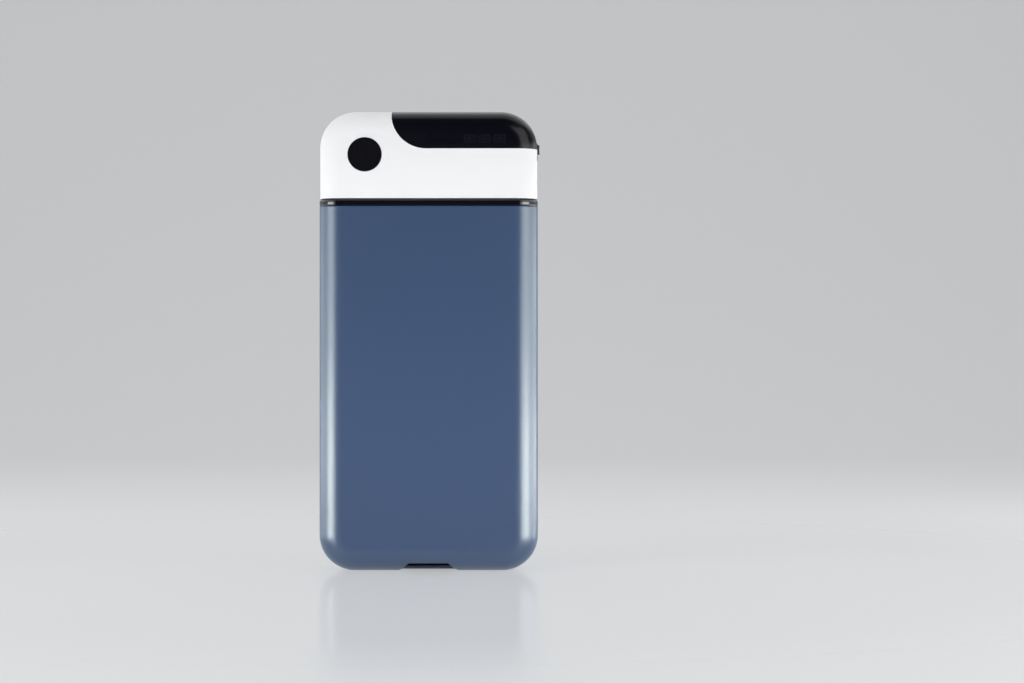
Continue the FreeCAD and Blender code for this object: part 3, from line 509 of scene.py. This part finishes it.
SHELL_LOW, SHELL_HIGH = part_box("usb_socket")
SOCKET_Y, SOCKET_Z = (SHELL_LOW.y + SHELL_HIGH.y) / 2, (SHELL_LOW.z + SHELL_HIGH.z) / 2
TONGUE_HALF, TONGUE_SPAN, TONGUE_SLACK = 0.00035, 0.0033, 0.00004
socket = Finish("bright_socket_shell", {"IOR": 1.5})
inside_y = abs(socket.axis("Y") - SOCKET_Y) < TONGUE_HALF + TONGUE_SLACK
inside_z = abs(socket.axis("Z") - SOCKET_Z) < TONGUE_SPAN + TONGUE_SLACK
tongue = inside_y * inside_z
polish = socket.noise(1300.0, detail=3.0, stretch=(0.05, 1, 1))
steel = socket.mix(polish, srgb(190, 191, 193), srgb(218, 219, 220))
socket.drive("Base Color", socket.mix(tongue, steel, srgb(22, 22, 23)))
socket.drive("Metallic", 1.0 - tongue)
socket.drive("Roughness", 0.2 + 0.12 * polish + 0.25 * tongue)
socket.put_on(nodes["usb_socket"])

CONTACT_LONG, CONTACT_WIDE, CONTACT_PROUD, CONTACT_ROUND = 0.0036, 0.00028, 0.00003, 0.0001
CONTACTS, CONTACT_PITCH, CONTACT_SET_BACK = 12, 0.0005, 0.0009
contact_size = (CONTACT_LONG, 2 * CONTACT_PROUD, CONTACT_WIDE)
contact_middle = CONTACT_LONG / 2
contact = start_block(contact_size, middle=(contact_middle, 0, 0))
pick(
    contact,
    "EDGE",
    lambda middle, run: abs(run.y) > CONTACT_PROUD and middle.x < contact_middle,
)
bpy.ops.mesh.bevel(offset=CONTACT_ROUND, segments=2, affect="EDGES")
settle(contact)
contact_places = []
for face in (-1, 1):
    for n in range(CONTACTS):
        contact_x, contact_y = SHELL_LOW.x + CONTACT_SET_BACK, SOCKET_Y + face * TONGUE_HALF
        contact_z = SOCKET_Z + (n - (CONTACTS - 1) / 2) * CONTACT_PITCH
        contact_places.append(Matrix.Translation((contact_x, contact_y, contact_z)))
contacts = copies("socket_contacts", contact, contact_places)
gilt = Finish("gilt_contact", {"Metallic": 1.0, "IOR": 1.5})
gilt.drive("Base Color", gilt.mix(gilt.noise(2000.0), srgb(222, 184, 98), srgb(240, 206, 126)))
gilt.drive("Roughness", 0.18 + 0.1 * gilt.noise(3000.0))
gilt.put_on(contacts)
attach(contacts, "head")

# ---------------------------------------------------------------------------------------------
# Switches on the board
# The timer button's tactile switch, on the board's front, has a steel frame over a black base. The
# slide switch, on its rear, has a folded steel case over a brown base.

FRAME_DEEP, CASE_DEEP = 0.0016, 0.0014
button_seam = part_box("button_switch")[0].y + FRAME_DEEP
slide_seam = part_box("power_switch_body")[1].y - CASE_DEEP
for node, seam, base_behind, base in (
    ("button_switch", button_seam, True, srgb(24, 24, 25)),
    ("power_switch_body", slide_seam, False, srgb(92, 60, 36)),
):
    cased = Finish(node + "_case", {"IOR": 1.5})
    behind = cased.axis("Y") > seam
    plastic = behind if base_behind else 1.0 - behind
    grain = cased.noise(1100.0, detail=3.0, stretch=(0.1, 1, 1))
    folded = cased.mix(grain, srgb(184, 186, 188), srgb(212, 213, 214))
    cased.drive("Base Color", cased.mix(plastic, folded, base))
    cased.drive("Metallic", 1.0 - plastic)
    cased.drive("Roughness", 0.24 + 0.12 * grain + 0.2 * plastic)
    cased.put_on(nodes[node])

# ---------------------------------------------------------------------------------------------
# Display module and its digits
# A grey liquid-crystal panel. Its six figures are pointed segments, in pairs for hours, minutes
# and seconds with colons between. They carry a painted glow: faint emission standing in for the
# light the closed head keeps from them, so that they show behind the smoked window.

PANEL_LOW, PANEL_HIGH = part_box("display_module")
FACE_SLACK = 0.00001
panel = Finish("display_panel", {"IOR": 1.52, "Coat Weight": 0.5, "Coat Roughness": 0.08})
glass_face = panel.axis("Y") < PANEL_LOW.y + FACE_SLACK
panel.drive("Base Color", panel.mix(glass_face, srgb(44, 44, 46), srgb(30, 31, 33)))
panel.drive("Roughness", 0.35 - 0.15 * glass_face + 0.05 * panel.noise(500.0))
panel.put_on(nodes["display_module"])

FIGURES, FIGURE_WIDE, FIGURE_TALL, STROKE = 6, 0.0019, 0.0034, 0.0004
FIGURE_STEP, PAIR_GAP, FIRST_FIGURE = 0.0028, 0.0014, 0.0178
SEGMENT_THICK, SEGMENT_GAP, POINT_FROM = 0.00004, 0.00012, STROKE / 5


def model_segment(length):
    """Flat bar along X with pointed ends, which stands proud of the panel's face."""
    made = start_rod(6, STROKE / 2, SEGMENT_THICK, turn=(math.pi / 2, math.pi / 6, 0))
    for end in (-1, 1):
        pick(made, "EDGE", lambda middle, run: end * middle.x > POINT_FROM)
        bpy.ops.transform.translate(value=(end * (length - STROKE) / 2, 0, 0))
    settle(made)
    return made


panel_face_y = PANEL_LOW.y - SEGMENT_THICK / 2
figure_z = (PANEL_LOW.z + PANEL_HIGH.z) / 2
upright = Matrix.Rotation(math.pi / 2, 4, "Y")
half_wide, half_tall = FIGURE_WIDE / 2, FIGURE_TALL / 2
across_places, upright_places = [], []
for n in range(FIGURES):
    figure_x = FIRST_FIGURE + n * FIGURE_STEP + (n // 2) * PAIR_GAP
    for level in (-1, 0, 1):
        at = (figure_x, panel_face_y, figure_z + level * half_tall)
        across_places.append(Matrix.Translation(at))
    for side in (-1, 1):
        for level in (-1, 1):
            at = (figure_x + side * half_wide, panel_face_y, figure_z + level * half_tall / 2)
            upright_places.append(Matrix.Translation(at) @ upright)
across = copies("figures_across", model_segment(FIGURE_WIDE - 2 * SEGMENT_GAP), across_places)
uprights = copies("figures_upright", model_segment(half_tall - 2 * SEGMENT_GAP), upright_places)

dot = start_rod(16, STROKE / 2, SEGMENT_THICK, turn=(math.pi / 2, 0, 0))
pick(dot, "EDGE", lambda middle, run: middle.y < 0)
bpy.ops.mesh.bevel(offset=SEGMENT_THICK / 4, segments=1, affect="EDGES")
settle(dot)
colon_places = []
for pair in range(1, FIGURES // 2):
    colon_x = FIRST_FIGURE + (2 * pair - 0.5) * FIGURE_STEP + (pair - 0.5) * PAIR_GAP
    for level in (-1, 1):
        at = (colon_x, panel_face_y, figure_z + level * half_tall / 2)
        colon_places.append(Matrix.Translation(at))
colons = copies("figures_colons", dot, colon_places)

# Painted glow: the figures emit light though the panel is unlit, in place of the light that cannot
# reach them inside the head.
PAINTED_FIGURE_GLOW = 1.3
painted_glow_finish = Finish(
    "figure_painted_glow",
    {"IOR": 1.5, "Emission Color": srgb(226, 230, 240), "Emission Strength": PAINTED_FIGURE_GLOW},
)
painted_glow_finish.drive("Base Color", painted_glow_finish.mix(painted_glow_finish.noise(300.0), srgb(168, 172, 172), srgb(186, 190, 190)))
painted_glow_finish.drive("Roughness", 0.4 + 0.1 * painted_glow_finish.noise(900.0))
for group in (across, uprights, colons):
    painted_glow_finish.put_on(group)
    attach(group, "head")

# ---------------------------------------------------------------------------------------------
# Head shells
# Two halves of white ABS, spark-textured to a fine satin. They meet behind the middle, where a
# tongue on the rear one enters the front one, and screws from below hold both to the collar.

white = Finish("white_satin_abs", {"IOR": 1.5, "Specular IOR Level": 0.3})
tone = white.noise(14.0)
white.drive("Base Color", white.mix(tone, srgb(242, 243, 245), srgb(246, 247, 248)))
white.drive("Roughness", 0.48 + 0.06 * white.noise(500.0))
white.relief(white.noise(2200.0, detail=3.0), depth=0.000008)
white.put_on(nodes["head_front_shell"], nodes["head_rear_shell"])

# ---------------------------------------------------------------------------------------------
# Display window
# A polished panel of smoked acrylic, glued into a seat over the front shell's upper right corner.
# Its back is printed black, apart from a pane over the display that lets a little light through.

PANE_MARGIN, PANE_SHOWS = 0.0006, 0.1
smoked = Finish("smoked_acrylic", {"IOR": 1.4})
pane = 1.0
pane_sides = {"X": (PANEL_LOW.x, PANEL_HIGH.x), "Z": (PANEL_LOW.z, PANEL_HIGH.z)}
for letter, (low_side, high_side) in pane_sides.items():
    place = smoked.axis(letter)
    pane = (place > low_side + PANE_MARGIN) * (place < high_side - PANE_MARGIN) * pane
smoked.drive("Base Color", smoked.mix(smoked.noise(40.0), srgb(3, 3, 14), srgb(6, 6, 17)))
smoked.drive("Roughness", 0.21 + 0.04 * smoked.noise(180.0))
smoked.drive("Alpha", 1.0 - pane * PANE_SHOWS)
smoked.put_on(nodes["display_window"])

# ---------------------------------------------------------------------------------------------
# Timer button
# A flat cap of black satin plastic, flush with the shell and held from behind by its flange. Its
# stem presses the black plunger of the switch on the board.

cap = Finish("satin_black_cap", {"IOR": 1.5, "Specular IOR Level": 0.3})
cap.drive("Base Color", cap.mix(cap.noise(60.0), srgb(3, 3, 11), srgb(7, 7, 15)))
cap.drive("Roughness", 0.22 + 0.08 * cap.noise(600.0))
cap.relief(cap.noise(2400.0), depth=0.000004)
cap.put_on(nodes["timer_button"])

trim = Finish("matt_black_trim", {"IOR": 1.5})
trim.drive("Base Color", trim.mix(trim.noise(80.0), srgb(12, 12, 15), srgb(18, 18, 21)))
trim.drive("Roughness", 0.4 + 0.1 * trim.noise(900.0))
trim.relief(trim.noise(2000.0), depth=0.000006)
trim.put_on(nodes["button_plunger"])

# ---------------------------------------------------------------------------------------------
# Power switch
# A knob with three grip grooves, in a frame in the head's right side. Both are of the plunger's
# matt black plastic, and the knob's lever moves the slide switch on the board.

trim.put_on(nodes["power_switch_knob"], nodes["switch_bezel"])

# ---------------------------------------------------------------------------------------------
# Floor and backdrop
# One plain pale sweep of coated board, with its wall well behind the object. It mirrors a little
# close round the object, and is seen paler, directly or by reflection, than the lamps make it.

FLOOR_HALF, WALL_Y, WALL_Z, SWEEP, ON_LINE = 6.0, 1.6, 4.0, 0.5, 0.01
bpy.ops.object.select_all(action="DESELECT")
bpy.ops.mesh.primitive_plane_add(size=2 * FLOOR_HALF, location=(0, WALL_Y - FLOOR_HALF, 0))
floor = bpy.context.object
floor.name = "studio_sweep"
settle(floor)
pick(floor, "EDGE", lambda middle, run: abs(middle.y - WALL_Y) < ON_LINE)
bpy.ops.mesh.extrude_region_move(TRANSFORM_OT_translate={"value": (0, 0, WALL_Z)})
pick(floor, "EDGE", lambda middle, run: max(abs(middle.y - WALL_Y), abs(middle.z)) < ON_LINE)
bpy.ops.mesh.bevel(offset=SWEEP, segments=24, affect="EDGES")
settle(floor)
bpy.ops.object.shade_smooth()

FLOOR_GLOW, FLOOR_GLOW_SHARE = srgb(228, 230, 232), 0.5
MIRROR_END, PLAIN_START = 0.25, 0.55
MIRROR_ROUGH, PLAIN_ROUGH = 0.14, 0.6
pale = Finish("pale_coated_board", {"Base Color": srgb(226, 228, 230), "IOR": 1.45})
dulling_away = {
    "Value": pale.distance((0, 0, 0), (1, 1, 0)),
    "From Min": MIRROR_END,
    "From Max": PLAIN_START,
    "To Min": MIRROR_ROUGH,
    "To Max": PLAIN_ROUGH,
}
smooth = {"interpolation_type": "SMOOTHSTEP"}
pale.drive("Roughness", pale.node("MapRange", smooth, dulling_away))
watched = 0.0
for kind in ("Is Camera Ray", "Is Glossy Ray", "Is Transmission Ray"):
    watched = pale.node("LightPath", output=kind) + watched
glow = pale.node("Emission", None, {"Color": FLOOR_GLOW, "Strength": 1.0})
lit = Signal(pale, pale.shader.outputs["BSDF"])
share = pale.node("Math", {"operation": "MINIMUM"}, {0: watched, 1: 1.0}) * FLOOR_GLOW_SHARE
both = pale.node("MixShader", None, {0: share, 1: lit, 2: glow})
pale.tree.links.new(both.socket, pale.tree.nodes["Material Output"].inputs["Surface"])
pale.put_on(floor)

# ---------------------------------------------------------------------------------------------
# Light and camera
# Upright softboxes stand in an arc on each side of the front, one above another, and the lowest
# ones carry grids. One more hangs high on each side and one overhead behind, in a dim room.


def softbox(name, place, aim, width, tall, radiance, spread=180):
    """Rectangular lamp at place, turned to aim, in metres. Its face is as bright as radiance
    straight ahead. A spread under 180 degrees is a grid that narrows its light."""
    lamp = bpy.data.lights.new(name, "AREA")
    lamp.shape = "RECTANGLE"
    lamp.size, lamp.size_y = width, tall
    lamp.energy = radiance * math.pi * width * tall
    if spread < 180:
        lamp.spread = math.radians(spread)
        half = lamp.spread / 2
        lamp.energy *= (math.tan(half) - half) / math.tan(half)
    box = bpy.data.objects.new(name, lamp)
    bpy.context.scene.collection.objects.link(box)
    box.location = place
    box.rotation_euler = (Vector(aim) - Vector(place)).to_track_quat("-Z", "Y").to_euler()
    box.visible_camera = False


# The side lamps stand this far from the object's middle, in levels from one height to another.
# A lamp with a grid fills at most GRID_TURN degrees of the arc.
LAMP_AWAY, GRID_SPREAD, GRID_TURN = 0.717, 32, 12
LEVELS = ((0.0, 0.05), (0.05, 0.13), (0.13, 0.19), (0.19, 0.23), (0.23, 0.33))
# Side, -1 for left or 1 for right, where the arc starts and ends in degrees round from the front,
# and its radiance at each level, lowest first.
SIDE_LAMPS = (
    (-1, 34, 43, (11.0, 1.8, 0.6, 1.6, 0.6)),
    (-1, 43, 74, (34.0, 2.0, 1.1, 9.8, 0.9)),
    (-1, 74, 98, (8.0, 1.4, 2.2, 0.6, 1.2)),
    (-1, 98, 130, (5.5, 1.2, 2.2, 0.3, 1.2)),
    (1, 26, 38, (12.0, 1.6, 1.0, 1.8, 0.5)),
    (1, 38, 74, (38.0, 0.7, 1.4, 10.6, 0.9)),
    (1, 74, 98, (15.0, 1.5, 4.4, 0.6, 1.6)),
    (1, 98, 130, (12.5, 1.5, 4.3, 0.3, 1.5)),
)
for side, arc_start, arc_end, radiances in SIDE_LAMPS:
    for level, ((z_low, z_high), radiance) in enumerate(zip(LEVELS, radiances)):
        parts = 1 if level else math.ceil((arc_end - arc_start) / GRID_TURN)
        spread = 180 if level else GRID_SPREAD
        wide = math.radians(arc_end - arc_start) / parts
        width = 2 * LAMP_AWAY * math.tan(wide / 2)
        middle = (z_low + z_high) / 2
        for part in range(parts):
            name = f"side_{side}_{arc_start}_{level}_{part}"
            turn = math.radians(arc_start) + (part + 0.5) * wide
            place = (side * LAMP_AWAY * math.sin(turn), -LAMP_AWAY * math.cos(turn), middle)
            softbox(name, place, (0, 0, middle), width, z_high - z_low, radiance, spread)

# Each upper lamp's place, width, height and radiance.
UPPER_LAMPS = {
    "high_left": ((-0.85, -0.80, 0.75), 0.9, 0.7, 3.35),
    "high_right": ((0.96, -0.67, 0.75), 1.1, 0.9, 1.42),
    "overhead_rear": ((0.0, 0.55, 1.1), 2.0, 1.4, 0.85),
}
OBJECT_MIDDLE = (0, 0, 0.1)
for name, (place, width, tall, radiance) in UPPER_LAMPS.items():
    softbox(name, place, OBJECT_MIDDLE, width, tall, radiance)

ROOM_LIGHT = 0.06
world = bpy.data.worlds.new("dim_studio")
bpy.context.scene.world = world
world.use_nodes = True
room = world.node_tree.nodes["Background"]
room.inputs["Color"].default_value = (1, 1, 1, 1)
room.inputs["Strength"].default_value = ROOM_LIGHT

EYE = (0.0389, -1.205, 0.1068)
camera = bpy.data.cameras.new("camera")
camera.lens, camera.sensor_width = 90.3, 36.0
camera.clip_start, camera.clip_end = 0.05, 20.0
eye = bpy.data.objects.new("camera", camera)
bpy.context.scene.collection.objects.link(eye)
eye.location = EYE
eye.rotation_euler = (math.radians(90), 0, 0)
bpy.context.scene.camera = eye
bpy.context.scene.view_settings.view_transform = "Standard"
